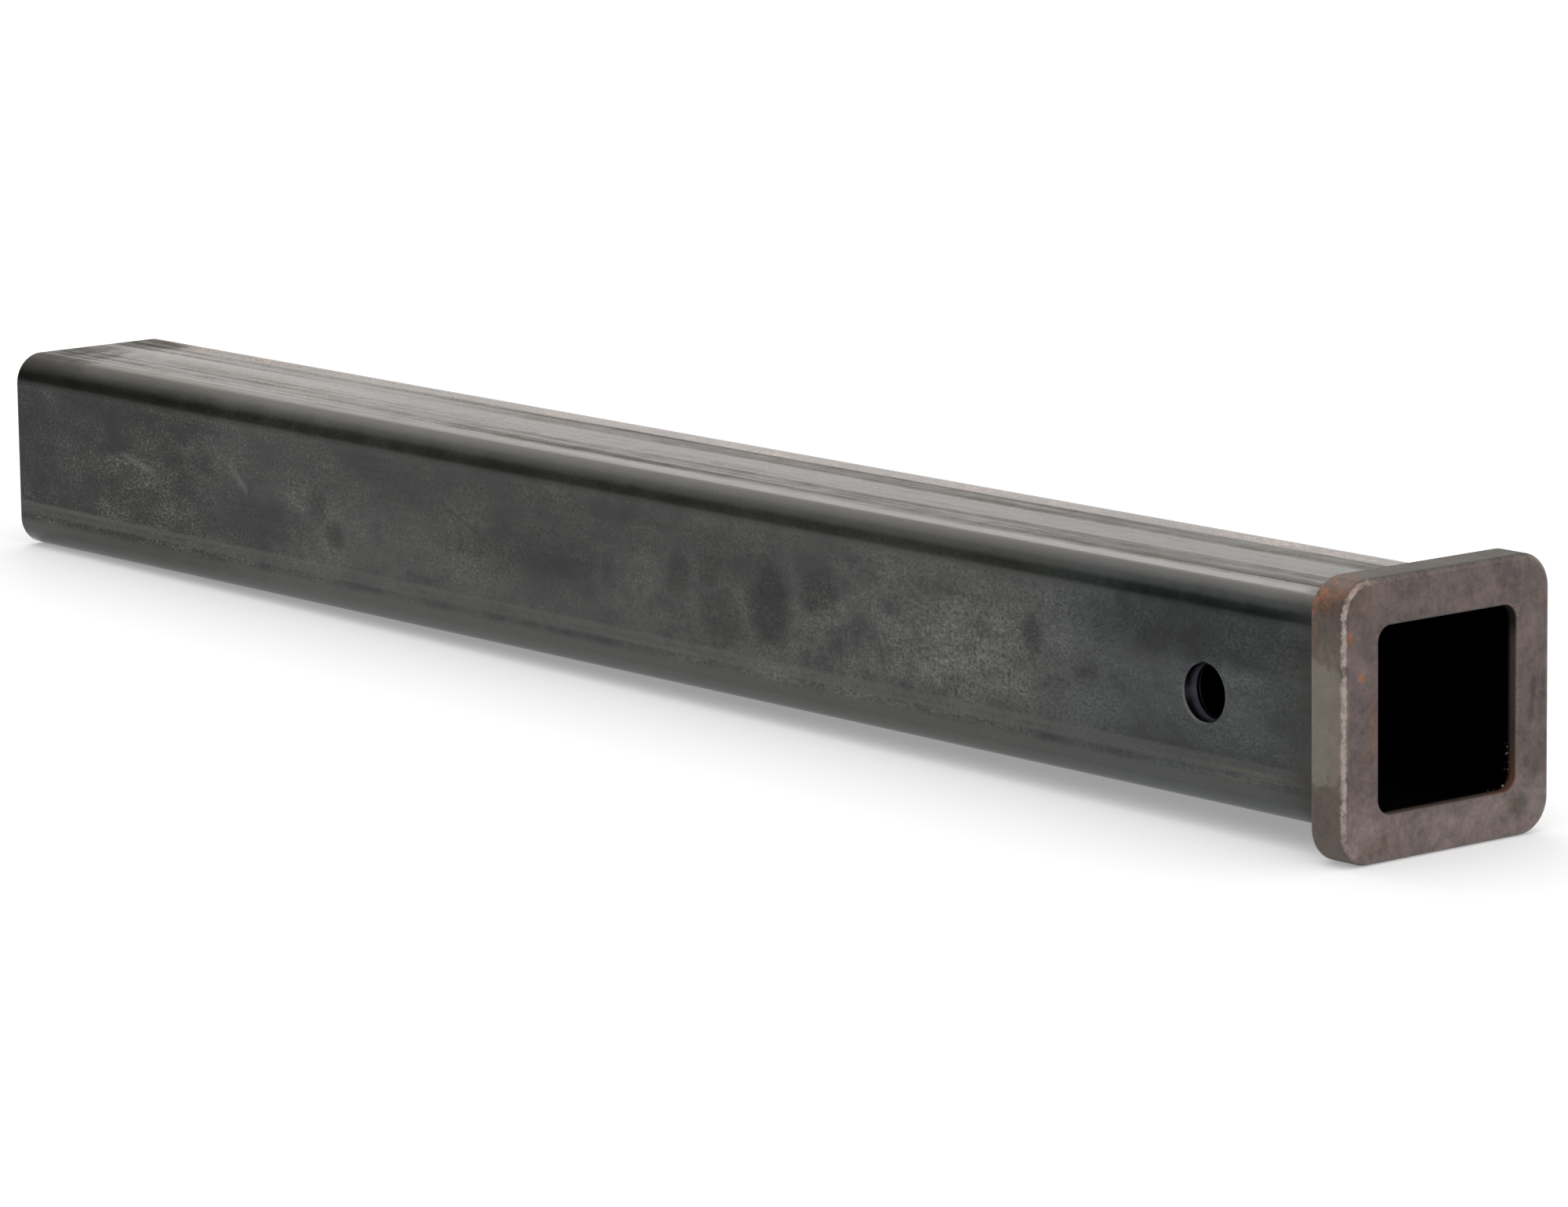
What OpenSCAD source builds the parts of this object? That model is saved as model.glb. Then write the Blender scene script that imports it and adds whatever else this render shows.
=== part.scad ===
// Hitch receiver tube: a square steel tube with a forged collar welded round
// its mouth, drilled across for a hitch pin. All sizes are in millimetres.
// The origin is on the tube's centre line, in the middle of the pin hole.
// +X runs out of the mouth and +Z is up.

/* [Tube] */
// Outside width and height of the square tube
tube_size = 63.5; // [58:0.5:80]
// Wall thickness of the tube
tube_wall = 6.35; // [4:0.05:8]
// Outside radius of the tube's four long corners
tube_corner_r = 9.5; // [8.5:0.5:12]
// Length of the tube, from its sawn tail to its seat inside the collar
tube_length = 635; // [200:1:1200]

// Chamfer on the sawn tail's outer edge and on the pin hole's two rims
edge_break = 0.5; // [0.2:0.1:1]

/* [Pin hole] */
// Diameter of the cross hole for the hitch pin
pin_hole_d = 16.2; // [12:0.1:20]
// Distance from the pin's axis to the front face of the collar
pin_to_front = 61.2; // [40:0.1:90]

/* [Collar] */
// How far the collar stands out from the tube on each side
collar_wall = 6.75; // [5:0.05:12]
// Length of the collar along the tube
collar_length = 12.7; // [9:0.1:25]
// Outside radius of the collar's four corners
collar_corner_r = 10; // [6:0.5:14]
// Rounding of the collar's front outside edge
front_edge_r = 2; // [0.5:0.1:3]
// Rounding of the collar's rear outside edge
rear_edge_r = 1.5; // [0.5:0.1:2.5]
// Clearance between the tube and the socket in the collar, on each side
socket_gap = 0.2; // [0.05:0.05:0.5]

/* [Mouth] */
// Thickness of the inward lip that the tube's end seats on
lip_length = 4.7; // [3:0.1:7]
// How far the mouth stands back from the tube's bore, on each side
mouth_gap = 0; // [0:0.05:0.6]
// Radius of the mouth's four corners
mouth_corner_r = 4.4; // [2:0.1:6]
// Rounding of the mouth's lead-in edge
mouth_edge_r = 0.5; // [0.3:0.1:2.5]

/* [Collar weld] */
// Leg length of the fillet weld behind the collar
weld_leg = 5; // [3:0.1:5]
// How far the weld's face bulges past a flat fillet
weld_crown = 0.7; // [0.2:0.1:1.2]

/* [Hidden] */

$fn = 96;
// How far a cut runs past the surface that it opens
over = 1;

half = tube_size / 2;
bore_half = half - tube_wall;
bore_corner_r = tube_corner_r - tube_wall;
collar_half = half + collar_wall;
mouth_half = bore_half + mouth_gap;
socket_half = half + socket_gap;
socket_corner_r = tube_corner_r + socket_gap;

collar_back_x = pin_to_front - collar_length;
tube_front_x = pin_to_front - lip_length;
tube_back_x = tube_front_x - tube_length;

steel = [0.27, 0.27, 0.26];
collar_steel = [0.42, 0.38, 0.35];
weld_steel = [0.33, 0.31, 0.29];

// Stands a shape that was drawn upright along +X, with its foot at x
module along_tube(x) {
    translate([x, 0, 0]) rotate([0, 90, 0]) children();
}

// Square bar with round corners, standing on the origin
module rounded_bar(half_size, corner_r, length) {
    flat = half_size - corner_r;
    linear_extrude(height = length) {
        square([2 * half_size, 2 * flat], center = true);
        square([2 * flat, 2 * half_size], center = true);
        for (x = [-flat, flat], y = [-flat, flat])
            translate([x, y]) circle(r = corner_r);
    }
}

// Sweeps a profile round a rounded square. The profile's X is measured
// outwards from the square's surface, and its Y runs along the tube.
module sweep_round(half_size, corner_r) {
    flat = half_size - corner_r;
    for (side = [0:3]) rotate([0, 0, 90 * side]) {
        translate([half_size, 0, 0]) rotate([90, 0, 0])
            linear_extrude(height = 2 * flat, center = true) children();
        translate([flat, flat, 0])
            rotate_extrude(angle = 90) translate([corner_r, 0]) children();
    }
}

// What a fillet of radius r takes off a corner at [r, r]
module corner_waste(r) {
    difference() {
        square(r + over);
        circle(r = r);
    }
}

// Section of the collar's outer wall, with its two edges rounded
module collar_profile() {
    difference() {
        translate([-collar_corner_r, 0]) square([collar_corner_r, collar_length]);
        translate([-front_edge_r, collar_length - front_edge_r]) corner_waste(front_edge_r);
        translate([-rear_edge_r, rear_edge_r]) mirror([0, 1]) corner_waste(rear_edge_r);
    }
}

// Section of the metal that the mouth's rounded lead-in leaves out
module lead_in_profile() {
    translate([mouth_edge_r, collar_length - mouth_edge_r])
        mirror([1, 0]) corner_waste(mouth_edge_r);
}

// Section of the fillet weld: two legs, closed by an arc with a slight crown
module weld_profile() {
    half_chord = weld_leg / sqrt(2);
    face_r = (pow(half_chord, 2) + pow(weld_crown, 2)) / (2 * weld_crown);
    centre = weld_leg / 2 - (face_r - weld_crown) / sqrt(2);
    intersection() {
        translate([0, -weld_leg]) square(weld_leg);
        translate([centre, -centre]) circle(r = face_r);
    }
}

// Pin hole through both side walls, with its two outer rims broken
module pin_hole() {
    rotate([90, 0, 0]) cylinder(d = pin_hole_d, h = tube_size + 2 * over, center = true);
    cone = edge_break + over;
    for (turn = [0, 180])
        rotate([90, 0, turn]) translate([0, 0, half - edge_break])
            cylinder(d1 = pin_hole_d, d2 = pin_hole_d + 2 * cone, h = cone);
}

// Square tube with a sawn tail, the tail's outer edge broken all round
module tube() {
    color(steel) difference() {
        along_tube(tube_back_x) rounded_bar(half, tube_corner_r, tube_length);
        along_tube(tube_back_x - over)
            rounded_bar(bore_half, bore_corner_r, tube_length + 2 * over);
        along_tube(tube_back_x) sweep_round(half, tube_corner_r)
            rotate(45) square(sqrt(2) * edge_break, center = true);
        pin_hole();
    }
}

// One-piece forged collar, with a socket for the tube behind an inward lip
module collar() {
    core = 2 * (collar_half - collar_corner_r);
    color(collar_steel) along_tube(collar_back_x) difference() {
        union() {
            sweep_round(collar_half, collar_corner_r) collar_profile();
            translate([-core / 2, -core / 2, 0]) cube([core, core, collar_length]);
        }
        translate([0, 0, -over])
            rounded_bar(mouth_half, mouth_corner_r, collar_length + 2 * over);
        translate([0, 0, -over])
            rounded_bar(socket_half, socket_corner_r, collar_length - lip_length + over);
        sweep_round(mouth_half, mouth_corner_r) lead_in_profile();
    }
}

// Fillet weld that runs all round the tube, against the collar's back
module collar_weld() {
    color(weld_steel) along_tube(collar_back_x)
        sweep_round(half, tube_corner_r) weld_profile();
}

tube();
collar();
collar_weld();
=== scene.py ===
"""Looks of a hitch receiver tube: camera, floor, light, finishes and the weld bead."""
import math
import random

import bmesh
import bpy
from mathutils import Matrix, Vector


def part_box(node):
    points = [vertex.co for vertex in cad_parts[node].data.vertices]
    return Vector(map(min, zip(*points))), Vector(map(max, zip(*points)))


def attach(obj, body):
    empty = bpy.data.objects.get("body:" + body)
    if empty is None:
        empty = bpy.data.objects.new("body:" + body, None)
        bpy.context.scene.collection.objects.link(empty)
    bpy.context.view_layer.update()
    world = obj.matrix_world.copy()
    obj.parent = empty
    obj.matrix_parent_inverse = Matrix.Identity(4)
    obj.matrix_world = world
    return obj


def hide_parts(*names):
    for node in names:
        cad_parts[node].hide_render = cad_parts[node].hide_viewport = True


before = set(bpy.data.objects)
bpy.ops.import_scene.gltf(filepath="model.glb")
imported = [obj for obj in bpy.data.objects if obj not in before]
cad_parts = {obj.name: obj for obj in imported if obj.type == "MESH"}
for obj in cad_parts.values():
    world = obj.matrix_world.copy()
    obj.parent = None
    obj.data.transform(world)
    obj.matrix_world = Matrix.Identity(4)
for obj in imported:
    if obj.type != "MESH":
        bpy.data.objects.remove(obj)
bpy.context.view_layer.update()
tube, collar, weld = (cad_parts[name] for name in ("tube", "collar", "collar_weld"))

# Places and sizes that the finishes follow, in millimetres in the frame's axes:
# +X runs out of the mouth, -Y is the side that the photograph shows, +Z is up
MM = 0.001
TAIL_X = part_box("tube")[0].x / MM
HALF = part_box("tube")[1].z / MM
COLLAR_BACK_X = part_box("collar")[0].x / MM
FRONT_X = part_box("collar")[1].x / MM
COLLAR_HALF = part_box("collar")[1].z / MM
CORNER_R = 9.5
COLLAR_CORNER_R = 10
COLLAR_EDGE_R = 2
BORE_HALF = HALF - 6.35
MOUTH_CORNER_R = 4.4
PIN_R = 8.1

# Camera, in degrees, millimetres of lens and metres
CAMERA_AZIMUTH = 50.8504
CAMERA_ELEVATION = 10.2376
CAMERA_ROLL = -0.7664
CAMERA_LENS = 164.997
# The camera's place from the pin hole's middle, along its own right, up and back
CAMERA_OFFSET = Vector((-0.1375763, 0.0201693, 1.95564))


def add_camera():
    """Stands the camera at the photograph's place, without shift."""
    az, el, roll = map(math.radians, (CAMERA_AZIMUTH, CAMERA_ELEVATION, CAMERA_ROLL))
    back = Vector((math.sin(az) * math.cos(el), -math.cos(az) * math.cos(el), math.sin(el)))
    level = Vector((math.cos(az), math.sin(az), 0))
    upright = back.cross(level)
    right = level * math.cos(roll) + upright * math.sin(roll)
    up = upright * math.cos(roll) - level * math.sin(roll)
    turn = Matrix((right, up, back)).transposed()
    data = bpy.data.cameras.new("camera")
    data.lens = CAMERA_LENS
    data.clip_start, data.clip_end = 0.05, 60
    camera = bpy.data.objects.new("camera", data)
    camera.matrix_world = Matrix.Translation(turn @ CAMERA_OFFSET) @ turn.to_4x4()
    bpy.context.scene.collection.objects.link(camera)
    bpy.context.scene.camera = camera


def rgba(colour):
    return colour if isinstance(colour, bpy.types.NodeSocket) else (*colour, 1)


class Graph:
    """Short calls for the nodes of a shader. Lengths are in millimetres."""

    def __init__(self, tree):
        self.nodes, self.links = tree.nodes, tree.links
        self.place = self.add("ShaderNodeTexCoord").outputs["Object"]

    def add(self, kind, inputs=(), **settings):
        node = self.nodes.new(kind)
        for key, value in settings.items():
            setattr(node, key, value)
        for key, value in dict(inputs).items():
            self.put(node.inputs[key], value)
        return node

    def put(self, socket, value):
        if isinstance(value, bpy.types.NodeSocket):
            self.links.new(value, socket)
        else:
            socket.default_value = value

    def math(self, operation, a, b=0.0):
        return self.add("ShaderNodeMath", {0: a, 1: b}, operation=operation).outputs[0]

    def vector(self, operation, a, b=(0, 0, 0)):
        node = self.add("ShaderNodeVectorMath", {0: a, 1: b}, operation=operation)
        return node.outputs["Value" if operation in ("LENGTH", "DOT_PRODUCT") else "Vector"]

    def axes(self, vector):
        """The three coordinates of a place, in millimetres."""
        node = self.add("ShaderNodeSeparateXYZ", {0: vector})
        return [self.math("DIVIDE", out, MM) for out in node.outputs]

    def ramp(self, value, start, end, low=0.0, high=1.0):
        """Goes smoothly from low at start to high at end."""
        node = self.add("ShaderNodeMapRange", {
            "Value": value, "From Min": start, "From Max": end, "To Min": low, "To Max": high,
        }, interpolation_type="SMOOTHSTEP")
        return node.outputs["Result"]

    def noise(self, size, stretch=(1, 1, 1), detail=3.0, rough=0.5, seed=0.0):
        """Clouds about as long as size, drawn out along each axis by stretch."""
        scale = [1 / (size * MM * s) for s in stretch]
        moved = self.add("ShaderNodeMapping", {
            "Vector": self.place, "Scale": scale, "Location": (seed, 1.7 * seed, -seed)})
        return self.add("ShaderNodeTexNoise", {
            "Vector": moved.outputs[0], "Scale": 1.0, "Detail": detail, "Roughness": rough,
        }).outputs["Fac"]

    def total(self, *parts):
        """Weighted sum of patterns."""
        result = 0.0
        for pattern, weight in parts:
            result = self.math("ADD", result, self.math("MULTIPLY", pattern, weight))
        return result

    def times(self, *parts):
        result = parts[0]
        for part in parts[1:]:
            result = self.math("MULTIPLY", result, part)
        return result

    def most(self, *parts):
        """The largest of some values."""
        result = parts[0]
        for part in parts[1:]:
            result = self.math("MAXIMUM", result, part)
        return result

    def blend(self, share, under, over):
        """Lays one colour over another."""
        node = self.add("ShaderNodeMix", {0: share, 6: rgba(under), 7: rgba(over)}, data_type="RGBA")
        return node.outputs[2]

    def vary(self, colour, *patterns, share=1.0):
        """Lightens and darkens a colour by patterns, each with its own strength."""
        swing = self.total(*((self.math("SUBTRACT", pattern, 0.5), amount) for pattern, amount in patterns))
        factor = self.math("MAXIMUM", self.math("ADD", self.math("MULTIPLY", swing, share), 1.0), 0.1)
        return self.add("ShaderNodeVectorMath", {0: colour, 3: factor}, operation="SCALE").outputs[0]

    def band(self, coordinate, centre, half, soft):
        """1 within half of the centre line, falling to 0 over soft."""
        away = self.math("ABSOLUTE", self.math("SUBTRACT", coordinate, centre))
        return self.ramp(away, half + soft, half)

    def blot(self, centre, radii, soft=0.5, rag=0.8, seed=0.0):
        """1 inside a ragged blot, falling to 0 round it."""
        offset = self.vector("SUBTRACT", self.place, [c * MM for c in centre])
        away = self.vector("LENGTH", self.vector("DIVIDE", offset, [r * MM for r in radii]))
        size = min(radii)
        ragged = self.total((away, 1.0), (self.noise(size * 0.8, detail=4, rough=0.6, seed=seed), rag))
        return self.ramp(ragged, 1 + rag / 2 + soft, 1 + rag / 2 - soft)

    def from_core(self, half, radius):
        """Distance from the inner square that a rounded square is drawn round."""
        flat = (half - radius) * MM
        spread = self.vector("ABSOLUTE", self.vector("MULTIPLY", self.place, (0, 1, 1)))
        past = self.vector("MAXIMUM", self.vector("SUBTRACT", spread, (0, flat, flat)), (0, 0, 0))
        return self.math("DIVIDE", self.vector("LENGTH", past), MM)


class Finish(Graph):
    """A material whose pattern is placed in the frame's own millimetres."""

    def __init__(self, name):
        self.material = bpy.data.materials.new(name)
        self.material.use_nodes = True
        super().__init__(self.material.node_tree)
        self.shader = self.nodes["Principled BSDF"]
        self.x, self.y, self.z = self.axes(self.place)

    def done(self, colour, roughness, relief, depth, metal):
        """Feeds the shader: relief is a 0 to 1 height, depth its full height in millimetres."""
        bump = self.add("ShaderNodeBump", {"Height": relief, "Distance": depth * MM, "Strength": 1.0})
        self.put(self.shader.inputs["Base Color"], colour)
        self.put(self.shader.inputs["Roughness"], roughness)
        self.put(self.shader.inputs["Metallic"], metal)
        self.put(self.shader.inputs["Normal"], bump.outputs[0])
        return self.material


# Colours of the tube's finish
SCALE = (0.0238, 0.0258, 0.0200)
SCALE_BLUE = (0.0205, 0.0262, 0.0262)
SCALE_TOP = (0.0350, 0.0258, 0.0160)
# Pale scale; also the painted floor reflection on the near bottom corner
SCALE_PALE = (0.064, 0.066, 0.058)
SCALE_TAN = (0.100, 0.082, 0.055)
RUST_FILM = (0.185, 0.126, 0.106)
STAIN = (0.022, 0.018, 0.012)
OIL = (0.004, 0.004, 0.005)
# Painted shade: colour that stands in for the darkness inside the bore and the collar's mouth
PAINTED_BORE_SHADE = (0.001, 0.001, 0.001)
# Painted reflection: the bluish sheen painted on the pin hole's wall
PAINTED_HOLE_SHEEN = (0.085, 0.092, 0.122)
SAWN_GREY = (0.17, 0.16, 0.15)
# Painted shade and reflection of the collar, laid on the tube just behind it
PAINTED_COLLAR_SHADE = (0.020, 0.014, 0.009)
RUST_BROWN = (0.10, 0.045, 0.022)
RUST_ORANGE = (0.26, 0.085, 0.03)
BARE_STEEL = (0.28, 0.29, 0.275)

# Marks on the near side: x, z, half length, half height, strength
OIL_BLOTS = [
    (-409, 2.9, 5.5, 6, 0.55), (-400, -6.2, 5, 4.5, 0.5), (-462, -8, 44, 14, 0.52), (-510, -1, 11, 2.5, 0.35),
    (-590, 6, 52, 36, 0.85), (-320, 2, 11, 6, 0.3), (-300, 1, 42, 8, 0.50), (-286, 0, 22, 13, 0.28),
    (-227, 4, 6, 7, 0.50), (-208, -7, 10, 9, 0.42), (-212, 7, 6, 6.5, 0.50), (-205, 11, 18, 8, 0.35),
    (-185, 0, 10, 13, 0.62), (-162, 6, 8, 7, 0.60), (-70, 6, 4, 6, 0.50), (4, 17, 54, 9, 0.62),
    (-530, 19, 44, 4, 0.75), (-390, 15, 190, 12, 0.38), (34, 8, 14, 22, 0.36), (2, -13, 26, 6, 0.22),
    (8, -16.3, 42, 2.6, 0.34), (38, -21, 11, 8, 0.34),
]
PALE_PATCHES = [
    (-92, 4, 17, 4.5, 1.0), (-116, -2, 50, 17, 0.75), (-514, 4, 15, 2.2, 0.4), (-150, -1, 16, 9, 0.70),
    (-160, -20, 60, 3, 0.7),
]
TAN_STREAK = (15, -20.3, 17, 1.7)
# Scratches on the near side: x, z, half length, degrees above +X, half width, strength, dark or pale
SCRATCHES = [
    (-334, 6.5, 13, -21, 0.35, 0.7, OIL), (-13, -11.5, 15, -28, 0.3, 0.6, OIL), (-60, -13, 12, 60, 0.25, 0.5, OIL),
    (-452, 5.5, 8, -38, 1.0, 0.16, BARE_STEEL), (-508, 3.5, 12, -14, 0.9, 0.16, BARE_STEEL),
    (-250, 12, 9, 24, 0.2, 0.4, OIL), (-157, -16, 4.5, 86, 0.3, 0.4, OIL), (-130, -17, 4, 95, 0.25, 0.4, OIL), (-120, 9, 10, -12, 0.3, 0.15, BARE_STEEL),
]
# Lanes along the top: y, half width, softness, change of roughness at the tail and at the mouth
LANES = [
    (10.6, 4.3, 1.2, 0.08, 0.23), (14.0, 0.5, 0.7, 0.10, 0.06), (8.2, 0.4, 0.6, 0.08, 0.04),
    (16.5, 4.0, 2.0, 0.03, 0.0), (19.0, 2.6, 1.6, 0.02, -0.14), (3.0, 3.2, 3.0, -0.12, -0.02),
    (-7.0, 2.0, 2.0, 0.10, 0.02), (-14.5, 4.9, 2.0, 0.18, 0.24), (-18.8, 1.8, 1.5, -0.12, 0.10),
    (-23.3, 1.3, 1.2, 0.12, 0.13),
]


def tube_steel():
    """Dark mill scale, cloudy and streaked along the tube, with oil blots, scratches and a little rust."""
    g = Finish("tube_steel")
    g.cloud = g.noise(30, stretch=(2, 1, 1), detail=2, seed=3)
    g.patch = g.noise(8, stretch=(1.8, 1, 1), detail=3, rough=0.6, seed=2)
    g.mottle = g.noise(1.8, stretch=(1.4, 1, 1), detail=4, rough=0.8, seed=5)
    g.grain = g.noise(0.8, stretch=(1.5, 1, 1), detail=2, rough=0.7, seed=11)
    g.streak = g.noise(1.6, stretch=(60, 1, 1), detail=3, rough=0.6, seed=1)
    g.lane = g.noise(5, stretch=(40, 1, 1), detail=4, rough=0.65, seed=8)
    g.widest = g.most(g.math("ABSOLUTE", g.y), g.math("ABSOLUTE", g.z))
    g.near = g.ramp(g.y, -HALF + 3, -HALF + 1)

    g.top = g.ramp(g.z, 28, 31.4)
    colour = g.blend(g.ramp(g.x, -90, -30), SCALE, SCALE_BLUE)
    colour, oil = side_blots(g, g.blend(g.top, colour, SCALE_TOP))
    dusk = g.ramp(g.total((g.x, 1.0), (g.patch, 60.0)), -400, -460)
    bend = g.times(g.ramp(g.math("ABSOLUTE", g.y), 21, 24), g.ramp(g.math("ABSOLUTE", g.z), 21, 24))
    calm = g.math("SUBTRACT", 1.0, g.math("MULTIPLY", bend, 0.8))
    film = g.times(g.ramp(g.y, 14.5, 17.5), g.ramp(g.y, 25, 22), g.top, g.ramp(g.x, -480, -300, 0.3, 0.8))
    colour = g.blend(film, colour, RUST_FILM)
    clouded = g.times(calm, g.math("SUBTRACT", 1.0, g.math("MULTIPLY", g.top, 0.4)))
    colour = g.vary(colour, (g.cloud, 3.2), (g.patch, 3.4), share=clouded)
    colour = g.vary(colour, (g.mottle, 3.8), (g.grain, 5.5), share=calm)
    colour = g.vary(colour, (g.streak, 1.8), (g.lane, 1.8), share=g.math("ADD", g.math("MULTIPLY", g.top, 0.7), 0.3))
    colour = g.vary(colour, (g.grain, 4.5), (g.patch, 1.6), share=g.times(g.ramp(g.x, -350, -450), calm))
    flake = g.times(g.ramp(g.total((g.mottle, 0.4), (g.patch, 0.4), (g.streak, 0.2)), 0.50, 0.36), calm)
    colour = g.blend(g.math("MULTIPLY", flake, 0.3), colour, OIL)
    colour = roll_lines_and_floor_reflection(g, colour)
    colour = scratches(g, colour)
    colour, stain = tail_stain(g, colour)
    # Painted shade and reflection of the collar: the tube darkens to brown towards the collar
    collar_shade_mask = g.times(g.ramp(g.total((g.x, 1.0), (g.patch, 30.0)), COLLAR_BACK_X - 4, COLLAR_BACK_X + 12), 0.75)
    colour = g.blend(collar_shade_mask, colour, PAINTED_COLLAR_SHADE)
    colour, sawn, blade = sawn_end(g, colour)
    # Painted shade inside the bore and the pin hole, carried on into roughness and metal
    colour, bore_shade_mask = bore_and_pin(g, colour)

    lanes = g.total(*((g.times(g.band(g.y, y, half, soft), g.ramp(g.x, -430, -300, tail, mouth)), 1.0)
                      for y, half, soft, tail, mouth in LANES))
    uneven = g.math("SUBTRACT", g.total((g.lane, 0.4), (g.streak, 0.45), (g.patch, 0.3), (g.mottle, 0.2)), 0.675)
    uneven = g.math("MULTIPLY", uneven, g.math("ADD", 1.0, g.math("MULTIPLY", g.top, 0.6)))
    rough = g.total((g.times(uneven, calm), 1.0), (lanes, 1.0), (bend, -0.04), (stain, 0.25), (collar_shade_mask, 0.2), (sawn, 0.2),
                    (bore_shade_mask, 0.8))
    rough = g.math("MINIMUM", g.most(g.math("ADD", rough, 0.26), 0.12), 1.0)
    relief = g.times(g.total((g.mottle, 0.5), (g.streak, 0.15), (g.times(sawn, blade), 1.0)), calm)
    metal = g.most(bore_shade_mask, g.math("MULTIPLY", oil, 0.8), g.math("MULTIPLY", dusk, 0.62),
                   g.math("MULTIPLY", flake, 0.25))
    return g.done(colour, rough, relief, 0.03, metal)


def side_blots(g, colour):
    """Pale patches and dark oil blots on the near side."""
    for i, (x, z, long, high, strength) in enumerate(PALE_PATCHES):
        pale = g.blot((x, -HALF, z), (long, 12, high), soft=0.7, rag=1.4, seed=30 + i)
        colour = g.blend(g.math("MULTIPLY", pale, strength), colour, SCALE_PALE)
    oil = 0.0
    for i, (x, z, long, high, strength) in enumerate(OIL_BLOTS):
        blot = g.blot((x, -HALF, z), (long, 12, high), soft=0.5, rag=1.3, seed=i)
        oil = g.most(oil, g.math("MULTIPLY", blot, strength))
    return g.blend(oil, colour, OIL), oil


def roll_lines_and_floor_reflection(g, colour):
    """Lighter lengthwise lines low on the near side, and a bottom corner painted lighter as a painted reflection of
    the floor.
    """
    lines = g.most(g.band(g.z, -17.3, 0.5, 0.6), g.band(g.z, -19.6, 0.3, 0.4))
    lines = g.most(g.times(lines, g.ramp(g.lane, 0.35, 0.6, 0.3, 0.8)),
                   g.math("MULTIPLY", g.band(g.z, -18.3, 1.6, 0.8), 0.4))
    # Painted reflection: the near bottom corner painted paler where it would mirror the floor
    corner = g.math("MULTIPLY", g.ramp(g.z, -21.6, -23.5, 0.0, 0.6), g.ramp(g.z, -27, -24, 0.2, 1.0))
    return g.blend(g.times(g.most(lines, corner), g.near), colour, SCALE_PALE)


def scratches(g, colour):
    """Scratches on the near side, a tan streak, and bare specks that are thick towards the tail."""
    for x, z, long, degrees, wide, strength, mark in SCRATCHES:
        cos, sin = math.cos(math.radians(degrees)), math.sin(math.radians(degrees))
        dx, dz = g.math("SUBTRACT", g.x, x), g.math("SUBTRACT", g.z, z)
        along = g.math("ABSOLUTE", g.total((dx, cos), (dz, sin), (g.patch, 4.0), (1.0, -2.0)))
        across = g.math("ABSOLUTE", g.total((dx, -sin), (dz, cos), (g.mottle, 1.2), (1.0, -0.6)))
        line = g.times(g.ramp(across, wide * 2, wide * 0.4), g.ramp(along, long, long * 0.6), g.near)
        colour = g.blend(g.times(line, g.ramp(g.mottle, 0.3, 0.5, 0.4, 1.0), strength), colour, mark)
    x, z, long, high = TAN_STREAK
    tan = g.times(g.blot((x, -HALF, z), (long, 12, high), soft=0.6, rag=1.6, seed=44), g.ramp(g.streak, 0.4, 0.55))
    colour = g.blend(g.math("MULTIPLY", tan, 0.7), colour, SCALE_TAN)
    speck = g.ramp(g.noise(0.7, stretch=(1.6, 1, 1), detail=2, rough=0.8, seed=9), 0.62, 0.70)
    zones = g.most(g.blot((-522, -HALF, 3), (40, 12, 6), rag=1.2, seed=4),
                   g.blot((-452, -HALF, 6), (14, 12, 5), rag=1.2, seed=6),
                   g.ramp(g.x, -330, -480, 0.0, 0.3), g.ramp(g.patch, 0.5, 0.62, 0.0, 0.3))
    return g.blend(g.times(speck, zones, 0.7), colour, (0.2, 0.2, 0.19))


def tail_stain(g, colour):
    """Browner scale on the top by the tail, and a rusty rim round the cut."""
    ragged = g.total((g.x, 1.0), (g.noise(14, detail=4, seed=12), 50.0))
    stain = g.times(g.ramp(ragged, TAIL_X + 60, TAIL_X + 38), g.ramp(g.z, 24, 31))
    colour = g.blend(g.math("MULTIPLY", stain, 0.7), colour, STAIN)
    rim = g.ramp(g.total((g.x, 1.0), (g.mottle, 1.6)), TAIL_X + 2.2, TAIL_X + 1.2)
    return g.blend(g.math("MULTIPLY", rim, 0.9), colour, RUST_BROWN), stain


def sawn_end(g, colour):
    """The sawn end: bare steel with the blade's marks, browned in clouds."""
    sawn = g.ramp(g.x, TAIL_X + 0.45, TAIL_X + 0.2)
    blade = g.noise(0.35, stretch=(1, 1, 60), detail=2, seed=21)
    rusted = g.ramp(g.noise(7, detail=5, rough=0.65, seed=22), 0.42, 0.62)
    end = g.vary(g.blend(rusted, SAWN_GREY, RUST_BROWN), (blade, 2.0), (g.mottle, 1.0))
    return g.blend(sawn, colour, end), sawn, blade


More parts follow.
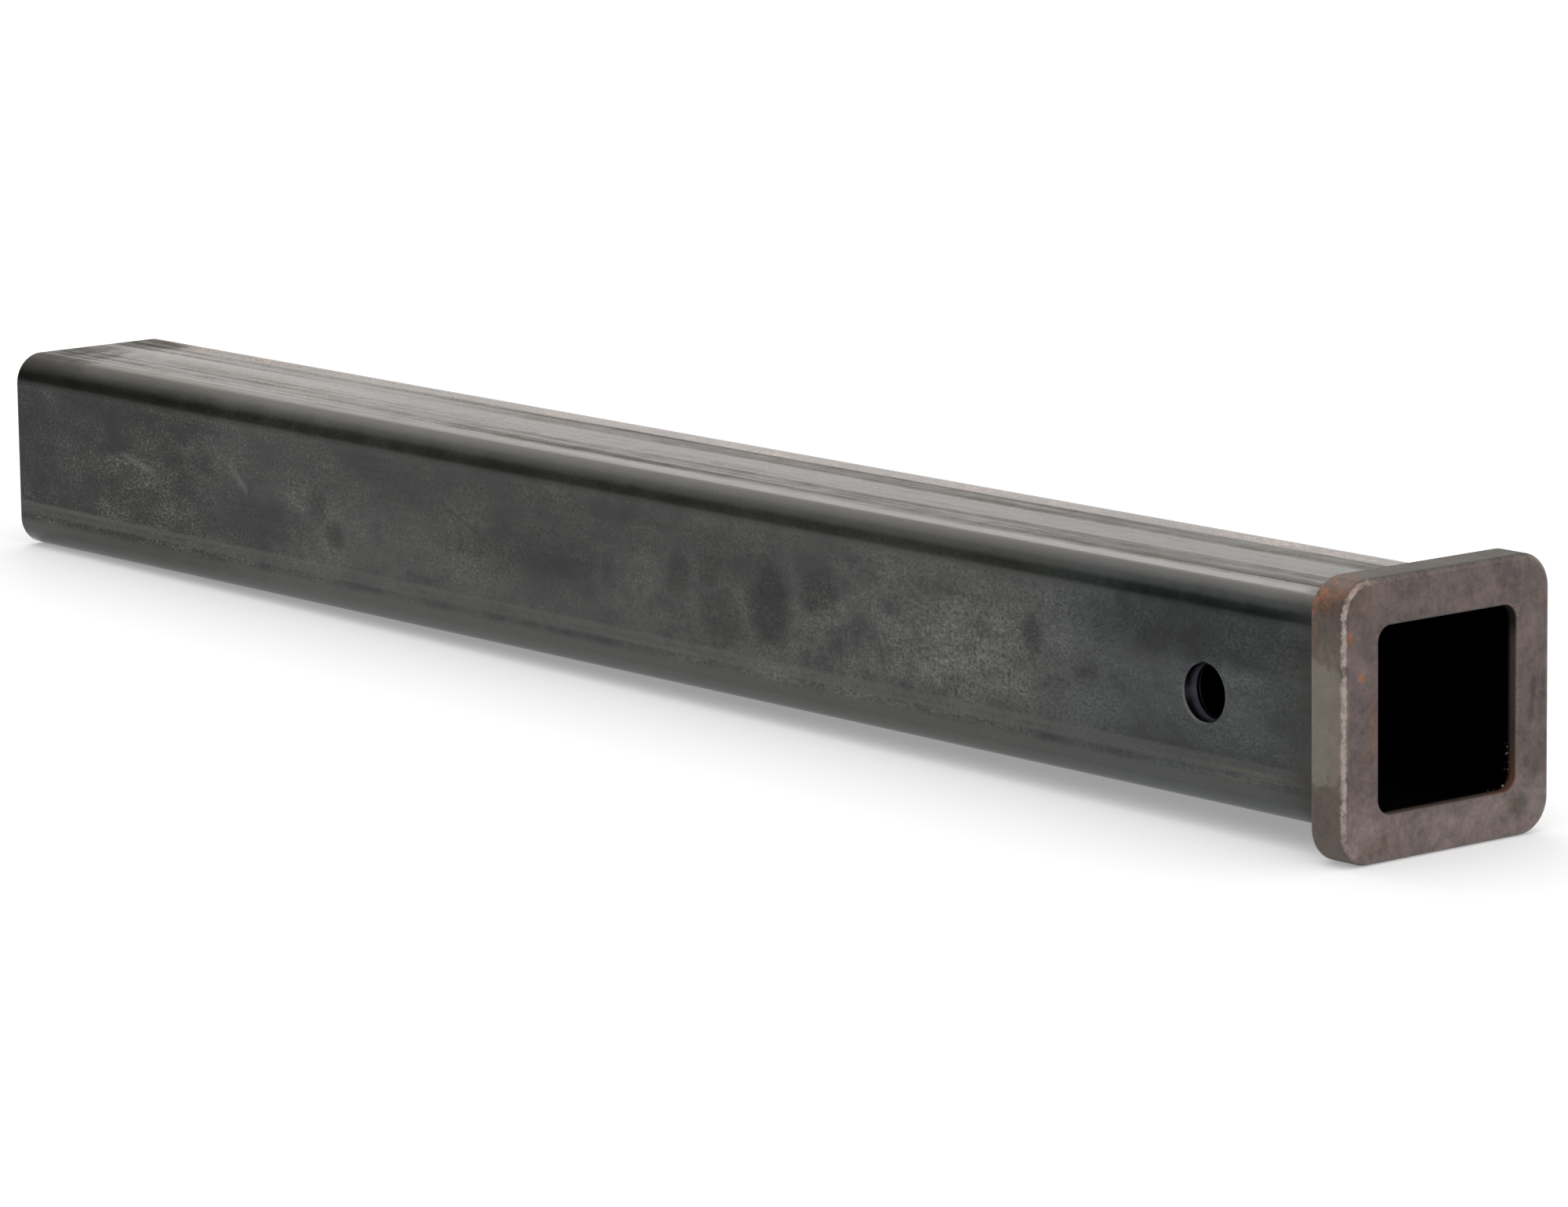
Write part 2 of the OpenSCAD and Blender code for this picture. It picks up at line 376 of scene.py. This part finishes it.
def bore_and_pin(g, colour):
    """Painted shade in the bore, lighter towards the open tail, and in the pin hole's wall past its outer part; the
    drilled wall painted dark at the outside and bluish further in as a painted reflection; a painted highlight on the
    hole's lower-left rim.
    """
    inside = g.ramp(g.widest, BORE_HALF + 0.25, BORE_HALF + 0.1)
    from_pin = g.vector("LENGTH", g.vector("MULTIPLY", g.place, (1 / MM, 0, 1 / MM)))
    wall = g.times(g.ramp(from_pin, PIN_R + 0.12, PIN_R + 0.05), g.ramp(g.widest, BORE_HALF + 0.3, BORE_HALF + 0.6))
    # Painted reflection: the pin hole's wall is dark at the outside and bluish further in
    colour = g.blend(wall, colour, g.blend(g.ramp(g.widest, HALF - 1.6, HALF - 4.4), OIL, PAINTED_HOLE_SHEEN))
    depth = g.ramp(g.widest, HALF - 4.7, HALF - 5.1)
    # Painted shade: the bore's inside, lighter towards the open tail, and the pin hole's wall past its outer part
    bore_shade_mask = g.most(g.times(inside, g.ramp(g.x, TAIL_X + 25, TAIL_X + 150, 0.2, 1.0)), g.times(wall, depth))
    colour = g.blend(bore_shade_mask, colour, PAINTED_BORE_SHADE)
    # Painted highlight: a pale line on the pin hole's rim, lower left only
    rim = g.times(g.band(from_pin, PIN_R + 0.3, 0.15, 0.12), g.near, g.ramp(g.x, 2, -6), g.ramp(g.z, 4, -3, 0.4, 1.0))
    return g.blend(g.math("MULTIPLY", rim, 0.4), colour, BARE_STEEL), bore_shade_mask


# Colours of the collar's finish
FORGED_FRONT = (0.110, 0.079, 0.073)
FORGED_LOW = (0.165, 0.125, 0.118)
FORGED_SIDE = (0.105, 0.076, 0.060)
# Brown tone and painted shade on the collar's top strip
TOP_BROWN_AND_SHADE = (0.052, 0.042, 0.033)
TAN = (0.178, 0.154, 0.122)
DIRT = (0.050, 0.036, 0.030)
RUSTY_BROWN = (0.12, 0.062, 0.042)
OLIVE = (0.062, 0.050, 0.032)
# Partly wear, partly a painted highlight on the outer edges
EDGE_RUB_HIGHLIGHT = (0.42, 0.34, 0.305)
LIP_BROWN = (0.080, 0.054, 0.045)

# Marks on the collar's front: y, z, half width, half height, colour, strength
FRONT_MARKS = [
    (-36.1, 23.5, 1.3, 1.6, RUST_ORANGE, 0.8), (-32, 12.6, 1.0, 1.1, RUST_ORANGE, 0.8),
    (20.0, 31.8, 2.0, 1.6, DIRT, 0.75), (-28, -2, 2.2, 11, RUSTY_BROWN, 0.6),
    (31.8, 1.5, 1.0, 3.4, DIRT, 0.95), (31.2, -4.5, 1.0, 3.0, DIRT, 0.9), (35, -6, 1.4, 4, DIRT, 0.3),
    (26.5, -29.7, 3.4, 2.8, OLIVE, 0.9), (33, -19, 3, 4, OLIVE, 0.6), (29.5, -18, 1.2, 1.6, DIRT, 0.75), (-31, 31, 3.5, 3, RUSTY_BROWN, 0.6),
    (-10, 27.6, 0.9, 0.9, DIRT, 0.6), (-25, -31, 9, 5, (0.19, 0.138, 0.132), 0.6), (-25, -34, 7, 2, RUSTY_BROWN, 0.4), (36.5, 24, 1.0, 2, RUSTY_BROWN, 0.7),
    (24, 30, 2.0, 1.0, DIRT, 0.5), (-14, 33, 3.0, 1.2, DIRT, 0.35), (5, -28.5, 3.0, 1.5, DIRT, 0.35),
]


def collar_steel():
    """Forged steel: pinkish grey skin, tan on the near side, a brown top strip darkened as painted shade, outer edges
    rubbed bright and partly a painted highlight, dirt and specks of rust, painted glints and painted shade in the
    mouth.
    """
    g = Finish("collar_steel")
    g.cloud = g.noise(11, detail=2, seed=2)
    g.patch = g.noise(4, detail=3, rough=0.6, seed=9)
    g.mottle = g.noise(1.5, detail=4, rough=0.8, seed=7)
    g.wiped = g.noise(1.6, stretch=(1, 1, 6), detail=3, seed=8)
    front = g.ramp(g.x, FRONT_X - 1.2, FRONT_X - 0.3)
    low = g.ramp(g.z, -16, -31)
    colour = g.blend(front, FORGED_SIDE, g.blend(low, FORGED_FRONT, FORGED_LOW))
    # Painted shade, with a brown tone: the collar's top strip is darker
    top = g.ramp(g.z, COLLAR_HALF - 1.6, COLLAR_HALF - 0.3)
    colour = g.blend(g.math("MULTIPLY", top, 0.9), colour, TOP_BROWN_AND_SHADE)
    colour, clean = collar_near_side(g, colour)
    for i, (y, z, wide, high, mark, strength) in enumerate(FRONT_MARKS):
        blot = g.blot((FRONT_X, y, z), (4, wide, high), soft=0.6, rag=1.2, seed=i)
        colour = g.blend(g.math("MULTIPLY", blot, strength), colour, mark)
    colour = corner_rust(g, colour)
    colour = g.vary(colour, (g.cloud, 1.2), (g.patch, 1.5), (g.mottle, 1.7), (g.wiped, 0.4),
                    share=g.math("SUBTRACT", 1.0, g.math("MULTIPLY", clean, 0.6)))
    colour, edge_rub_and_highlight = rubbed_and_highlit_edges(g, colour)
    colour, mouth_shade_mask = round_the_mouth(g, colour)
    rough = g.total((g.mottle, 0.4), (g.patch, 0.3), (edge_rub_and_highlight, -0.1), (top, 0.15), (mouth_shade_mask, 0.7))
    rough = g.math("MINIMUM", g.math("ADD", rough, 0.15), 1.0)
    return g.done(colour, rough, g.total((g.mottle, 0.6), (g.patch, 0.4)), 0.12, mouth_shade_mask)


def collar_near_side(g, colour):
    """A cleaner tan patch between dirty ends."""
    near = g.ramp(g.y, -COLLAR_HALF + 3, -COLLAR_HALF + 1)
    clean = g.times(near, g.blot((FRONT_X - 8, -COLLAR_HALF, 0), (12, 6, 17), soft=0.1, rag=0.9, seed=3))
    colour = g.blend(g.math("MULTIPLY", clean, 0.9), colour, TAN)
    ends = g.ramp(g.math("ABSOLUTE", g.z), 17, 24)
    return g.blend(g.times(near, ends, g.ramp(g.patch, 0.4, 0.6), 0.5), colour, DIRT), clean


def corner_rust(g, colour):
    """Rust round the upper near corner, brown with orange flecks."""
    corner = g.blot((FRONT_X - 8, -35, 36), (7, 7, 6), rag=1.2, soft=0.7, seed=11)
    fleck = g.ramp(g.noise(2.4, detail=4, rough=0.65, seed=13), 0.5, 0.6)
    colour = g.blend(g.math("MULTIPLY", corner, 0.8), colour, (0.130, 0.070, 0.042))
    colour = g.blend(g.times(corner, fleck, 0.75), colour, (0.25, 0.085, 0.040))
    edge = g.times(g.blot((COLLAR_BACK_X + 0.5, -38, 27), (2.2, 4, 7), rag=1.0, soft=0.5, seed=15), fleck)
    return g.blend(g.math("MULTIPLY", edge, 0.7), colour, RUST_ORANGE)


def rubbed_and_highlit_edges(g, colour):
    """The outer edges are rubbed bright, most of all down the near side: partly wear, partly a painted highlight."""
    u = g.math("SUBTRACT", g.x, FRONT_X - COLLAR_EDGE_R)
    v = g.math("SUBTRACT", g.from_core(COLLAR_HALF, COLLAR_CORNER_R), COLLAR_CORNER_R - COLLAR_EDGE_R)
    ragged = g.math("SUBTRACT", g.total((g.mottle, 1.6), (g.patch, 0.8)), 1.2)
    edge_rub_and_highlight = g.ramp(g.math("ADD", g.math("MINIMUM", g.math("SUBTRACT", u, 0.5), v), ragged), 0.25, 1.0)
    nick = g.ramp(g.total((g.patch, 0.4), (g.mottle, 0.6)), 0.40, 0.54, 0.35, 1.0)
    side = g.ramp(g.y, -COLLAR_HALF + 14, -COLLAR_HALF + 4, 0.15, 1.0)
    # Painted highlight as well as wear: bright colour on the near-side outer edges
    return g.blend(g.times(edge_rub_and_highlight, nick, side, g.ramp(g.z, -36, -22, 0.3, 1.0)), colour, EDGE_RUB_HIGHLIGHT), edge_rub_and_highlight


def round_the_mouth(g, colour):
    """A painted highlight on the mouth's right edge, a lip brown low down and oil-dark towards the top, rust at the
    lower right, painted glints, then painted shade further in.
    """
    from_bore = g.math("SUBTRACT", g.from_core(BORE_HALF, MOUTH_CORNER_R), MOUTH_CORNER_R)
    lip = g.ramp(from_bore, 0.6, 0.15)
    colour = g.blend(g.math("MULTIPLY", lip, 0.85), colour, g.blend(g.ramp(g.z, 14, 21), LIP_BROWN, OIL))
    # Painted highlight: a pale line on the mouth's right edge
    edge = g.times(g.band(from_bore, 0.5, 0.1, 0.2), g.ramp(g.y, 15, 24), g.ramp(g.mottle, 0.4, 0.6))
    colour = g.blend(g.math("MULTIPLY", edge, 0.5), colour, (0.24, 0.19, 0.165))
    rusty = g.blot((FRONT_X - 1, 25, -24), (5, 8, 7), rag=1.2, soft=0.7, seed=19)
    colour = g.blend(g.times(rusty, lip, 0.65), colour, (0.17, 0.070, 0.042))
    # Painted glints: bright specks inside the mouth
    speck = g.ramp(g.noise(1.1, detail=2, seed=23), 0.61, 0.66)
    speck = g.times(speck, g.ramp(g.z, -11, -15), g.ramp(g.y, 16, 20), g.band(g.x, FRONT_X - 3.4, 0.7, 0.3))
    # Painted shade: the mouth's inner wall past its first few millimetres
    mouth_shade_mask = g.math("MULTIPLY", g.ramp(g.x, FRONT_X - 1.4, FRONT_X - 3.4), g.ramp(from_bore, 0.4, 0.2))
    mouth_shade_mask = g.math("MULTIPLY", mouth_shade_mask, g.math("SUBTRACT", 1.0, speck))
    colour = g.blend(g.times(speck, g.ramp(from_bore, 0.4, 0.2)), colour, (0.6, 0.56, 0.52))
    return g.blend(mouth_shade_mask, colour, PAINTED_BORE_SHADE), mouth_shade_mask


def weld_steel():
    """Weld metal: dull grey, browned at the toes, with blue and straw temper tints."""
    g = Finish("weld_steel")
    cloud = g.noise(6, detail=4, rough=0.6, seed=4)
    grain = g.noise(0.8, detail=4, rough=0.7, seed=6)
    colour = g.blend(g.ramp(cloud, 0.35, 0.65), (0.075, 0.07, 0.066), (0.13, 0.125, 0.12))
    colour = g.blend(g.ramp(g.noise(11, detail=2, seed=14), 0.52, 0.68, 0.0, 0.5), colour, (0.06, 0.075, 0.11))
    toe = g.ramp(g.x, COLLAR_BACK_X - 3.2, COLLAR_BACK_X - 4.9)
    colour = g.blend(g.math("MULTIPLY", toe, 0.6), colour, (0.085, 0.055, 0.03))
    rough = g.math("ADD", g.total((grain, 0.2), (cloud, 0.15)), 0.28)
    return g.done(colour, rough, grain, 0.06, 0.0)


# Floor and room
FLOOR_REACH = 9.0
FLOOR_GLOW = 0.30
ROOM_LEVEL = 0.85
ROOM_TINT = (1.0, 0.988, 0.968)
# Dark strip low on the side that shows in the long near corner
STRIP_HEADING = (-0.78, -0.62, 0.0)
STRIP_DEPTH = 0.86
# Bright window that shows along the top of that corner: degrees, size and added level
WINDOW_AZIMUTH = 144.0
WINDOW_ELEVATION = 30.0
WINDOW_REACH = (4.0, 13.0)
WINDOW_LEVEL = 3.0
# Broader skylight over it, which shows in the middle of the corner
SKYLIGHT_AZIMUTH = 172.0
SKYLIGHT_ELEVATION = 52.0
SKYLIGHT_REACH = (8.0, 28.0)
SKYLIGHT_LEVEL = 0.7
# Brighter low wall that shows along the top
WALL_AZIMUTH = 138.0
WALL_REACH = (12.0, 24.0)
WALL_HEIGHT = (0.07, 0.06, 0.08)
WALL_LEVEL = 0.15


def compass(azimuth, elevation):
    """Direction in the frame's axes, from degrees."""
    az, el = math.radians(azimuth), math.radians(elevation)
    return (math.cos(az) * math.cos(el), math.sin(az) * math.cos(el), math.sin(el))


def floor_paint():
    """White floor that keeps a soft shadow; the camera and reflections see it a little brighter."""
    material = bpy.data.materials.new("floor_paint")
    material.use_nodes = True
    g = Graph(material.node_tree)
    shader = g.nodes["Principled BSDF"]
    shader.inputs["Base Color"].default_value = (0.81, 0.82, 0.835, 1)
    shader.inputs["Roughness"].default_value = 1.0
    shader.inputs["Specular IOR Level"].default_value = 0.0
    shader.inputs["Emission Color"].default_value = (1, 1, 1, 1)
    path = g.add("ShaderNodeLightPath").outputs
    seen = g.total((path["Is Camera Ray"], 1.0), (path["Is Glossy Ray"], 1.0),
                   (path["Is Transmission Ray"], 1.0))
    g.put(shader.inputs["Emission Strength"], g.math("MULTIPLY", seen, FLOOR_GLOW))
    return material


def add_floor():
    """Stands the part on its collar and its tail, with the floor drawn under both."""
    low, high = Vector((TAIL_X, 0, -HALF)) * MM, Vector((FRONT_X - COLLAR_EDGE_R, 0, -COLLAR_HALF)) * MM
    slope = (high.z - low.z) / (high.x - low.x)
    mesh = bpy.data.meshes.new("floor")
    shape = bmesh.new()
    corners = []
    for x, y in ((-1, -1), (1, -1), (1, 1), (-1, 1)):
        x, y = x * FLOOR_REACH, y * FLOOR_REACH
        corners.append(shape.verts.new((x, y, high.z + slope * (x - high.x) - 0.0001)))
    shape.faces.new(corners)
    shape.to_mesh(mesh)
    shape.free()
    floor = bpy.data.objects.new("floor", mesh)
    mesh.materials.append(floor_paint())
    bpy.context.scene.collection.objects.link(floor)


def add_room():
    """A white room with a soft window, a brighter low wall and one dark strip low on the near side."""
    world = bpy.data.worlds.new("studio")
    bpy.context.scene.world = world
    world.use_nodes = True
    g = Graph(world.node_tree)
    ray = g.add("ShaderNodeTexCoord").outputs["Generated"]
    height = g.add("ShaderNodeSeparateXYZ", {0: ray}).outputs["Z"]
    heading = g.vector("DOT_PRODUCT", ray, STRIP_HEADING)
    strip = g.times(g.ramp(height, -0.01, 0.07), g.ramp(height, 0.53, 0.35), g.ramp(heading, 0.3, 0.7))
    room = g.math("MULTIPLY", g.math("SUBTRACT", 1.0, g.math("MULTIPLY", strip, STRIP_DEPTH)), ROOM_LEVEL)

    def spot(azimuth, elevation, reach):
        full, none = (math.cos(math.radians(angle)) for angle in reach)
        return g.ramp(g.vector("DOT_PRODUCT", ray, compass(azimuth, elevation)), none, full)

    window = spot(WINDOW_AZIMUTH, WINDOW_ELEVATION, WINDOW_REACH)
    skylight = spot(SKYLIGHT_AZIMUTH, SKYLIGHT_ELEVATION, SKYLIGHT_REACH)
    wall = g.times(spot(WALL_AZIMUTH, 0, WALL_REACH), g.band(height, *WALL_HEIGHT))
    room = g.total((room, 1.0), (window, WINDOW_LEVEL), (skylight, SKYLIGHT_LEVEL), (wall, WALL_LEVEL))

    seen = g.add("ShaderNodeLightPath").outputs["Is Camera Ray"]
    background = g.nodes["Background"]
    g.put(background.inputs["Strength"], g.most(seen, g.math("MULTIPLY", room, g.math("SUBTRACT", 1.0, seen))))
    g.put(background.inputs["Color"], g.blend(seen, ROOM_TINT, (1, 1, 1)))


def add_light(name, place, size, power):
    """Large soft lamp that faces the part."""
    data = bpy.data.lights.new(name, "AREA")
    data.shape = "RECTANGLE"
    data.size, data.size_y = size
    data.energy = power
    lamp = bpy.data.objects.new(name, data)
    lamp.location = place
    lamp.rotation_euler = Vector(place).to_track_quat("Z", "Y").to_euler()
    bpy.context.scene.collection.objects.link(lamp)


# The weld bead: sizes of its section and of its ripples, in millimetres
WELD_LEG = 5.0
WELD_CROWN = 0.7
RIPPLE_PITCH = 2.1
RIPPLE_DEPTH = 0.22
RIPPLE_BOW = 1.6
SECTION_STEP = 0.35
FACE_POINTS = 13


def tube_outline(distance):
    """Point and outward direction on the tube's outline, at a distance along it."""
    flat = HALF - CORNER_R
    side, arc = 2 * flat, CORNER_R * math.pi / 2
    quarter, rest = divmod(distance, side + arc)
    turn = quarter * math.pi / 2
    if rest < side:
        point, angle = Vector((HALF, rest - flat)), 0.0
    else:
        angle = (rest - side) / CORNER_R
        point = Vector((flat + CORNER_R * math.cos(angle), flat + CORNER_R * math.sin(angle)))
    out = Vector((math.cos(angle), math.sin(angle)))
    return [Vector((v.x * math.cos(turn) - v.y * math.sin(turn), v.x * math.sin(turn) + v.y * math.cos(turn)))
            for v in (point, out)]


def weld_bead():
    """Fillet bead all round the tube, with the ripples that a hand-run weld leaves."""
    rng = random.Random(4)
    round_length = 8 * (HALF - CORNER_R) + 2 * math.pi * CORNER_R
    count = round(round_length / SECTION_STEP)
    ripples = round(round_length / RIPPLE_PITCH)
    jitter = [rng.uniform(-0.18, 0.18) for _ in range(ripples)]
    size = [rng.uniform(0.6, 1.2) for _ in range(ripples)]
    wander = [rng.uniform(0, 2 * math.pi) for _ in range(4)]
    bead = bmesh.new()
    rings = []
    for i in range(count):
        along = i * round_length / count
        point, out = tube_outline(along)
        slow = sum(math.sin(2 * math.pi * (k + 2) * along / round_length + wander[k]) for k in range(4)) / 4
        leg = WELD_LEG - 0.25 + 0.22 * slow
        lump = 0.3 * math.exp(-((along - 20) / 3) ** 2)
        ring = []
        for j in range(FACE_POINTS):
            t = j / (FACE_POINTS - 1)
            bow = RIPPLE_BOW * (2 * t - 1) ** 2
            phase = ((along + bow) / round_length * ripples) % ripples
            k = int(phase) % ripples
            wave = (phase - int(phase) + jitter[k]) % 1.0
            scallop = RIPPLE_DEPTH * size[k] * (abs(math.sin(math.pi * wave)) ** 0.7 - 1)
            rise = (WELD_CROWN + lump + scallop) * math.sin(math.pi * t) ** 0.8
            push = rise / math.sqrt(2)
            ring.append((leg * t + push, leg * (1 - t) + push))
        ring.append((-0.02, -0.02))
        ring = [(outward, min(back, WELD_LEG + WELD_CROWN)) for outward, back in ring]
        rings.append([bead.verts.new((
            (COLLAR_BACK_X - back) * MM,
            (point.x + out.x * outward) * MM,
            (point.y + out.y * outward) * MM)) for outward, back in ring])
    for ring, following in zip(rings, rings[1:] + rings[:1]):
        for a in range(len(ring)):
            b = (a + 1) % len(ring)
            bead.faces.new((ring[a], ring[b], following[b], following[a]))
    bmesh.ops.recalc_face_normals(bead, faces=bead.faces)
    mesh = bpy.data.meshes.new("weld_bead")
    bead.to_mesh(mesh)
    bead.free()
    for face in mesh.polygons:
        face.use_smooth = True
    mesh.materials.append(weld_steel())
    piece = bpy.data.objects.new("weld_bead", mesh)
    bpy.context.scene.collection.objects.link(piece)
    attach(piece, "root")
    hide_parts("collar_weld")


def dress(node, material):
    node.data.materials.clear()
    node.data.materials.append(material)


add_camera()
add_room()
add_floor()
add_light("overhead", (0.3, -0.6, 2.6), (2.4, 1.8), 9.0)
dress(tube, tube_steel())
dress(collar, collar_steel())
weld_bead()

bpy.context.scene.view_settings.view_transform = "Standard"
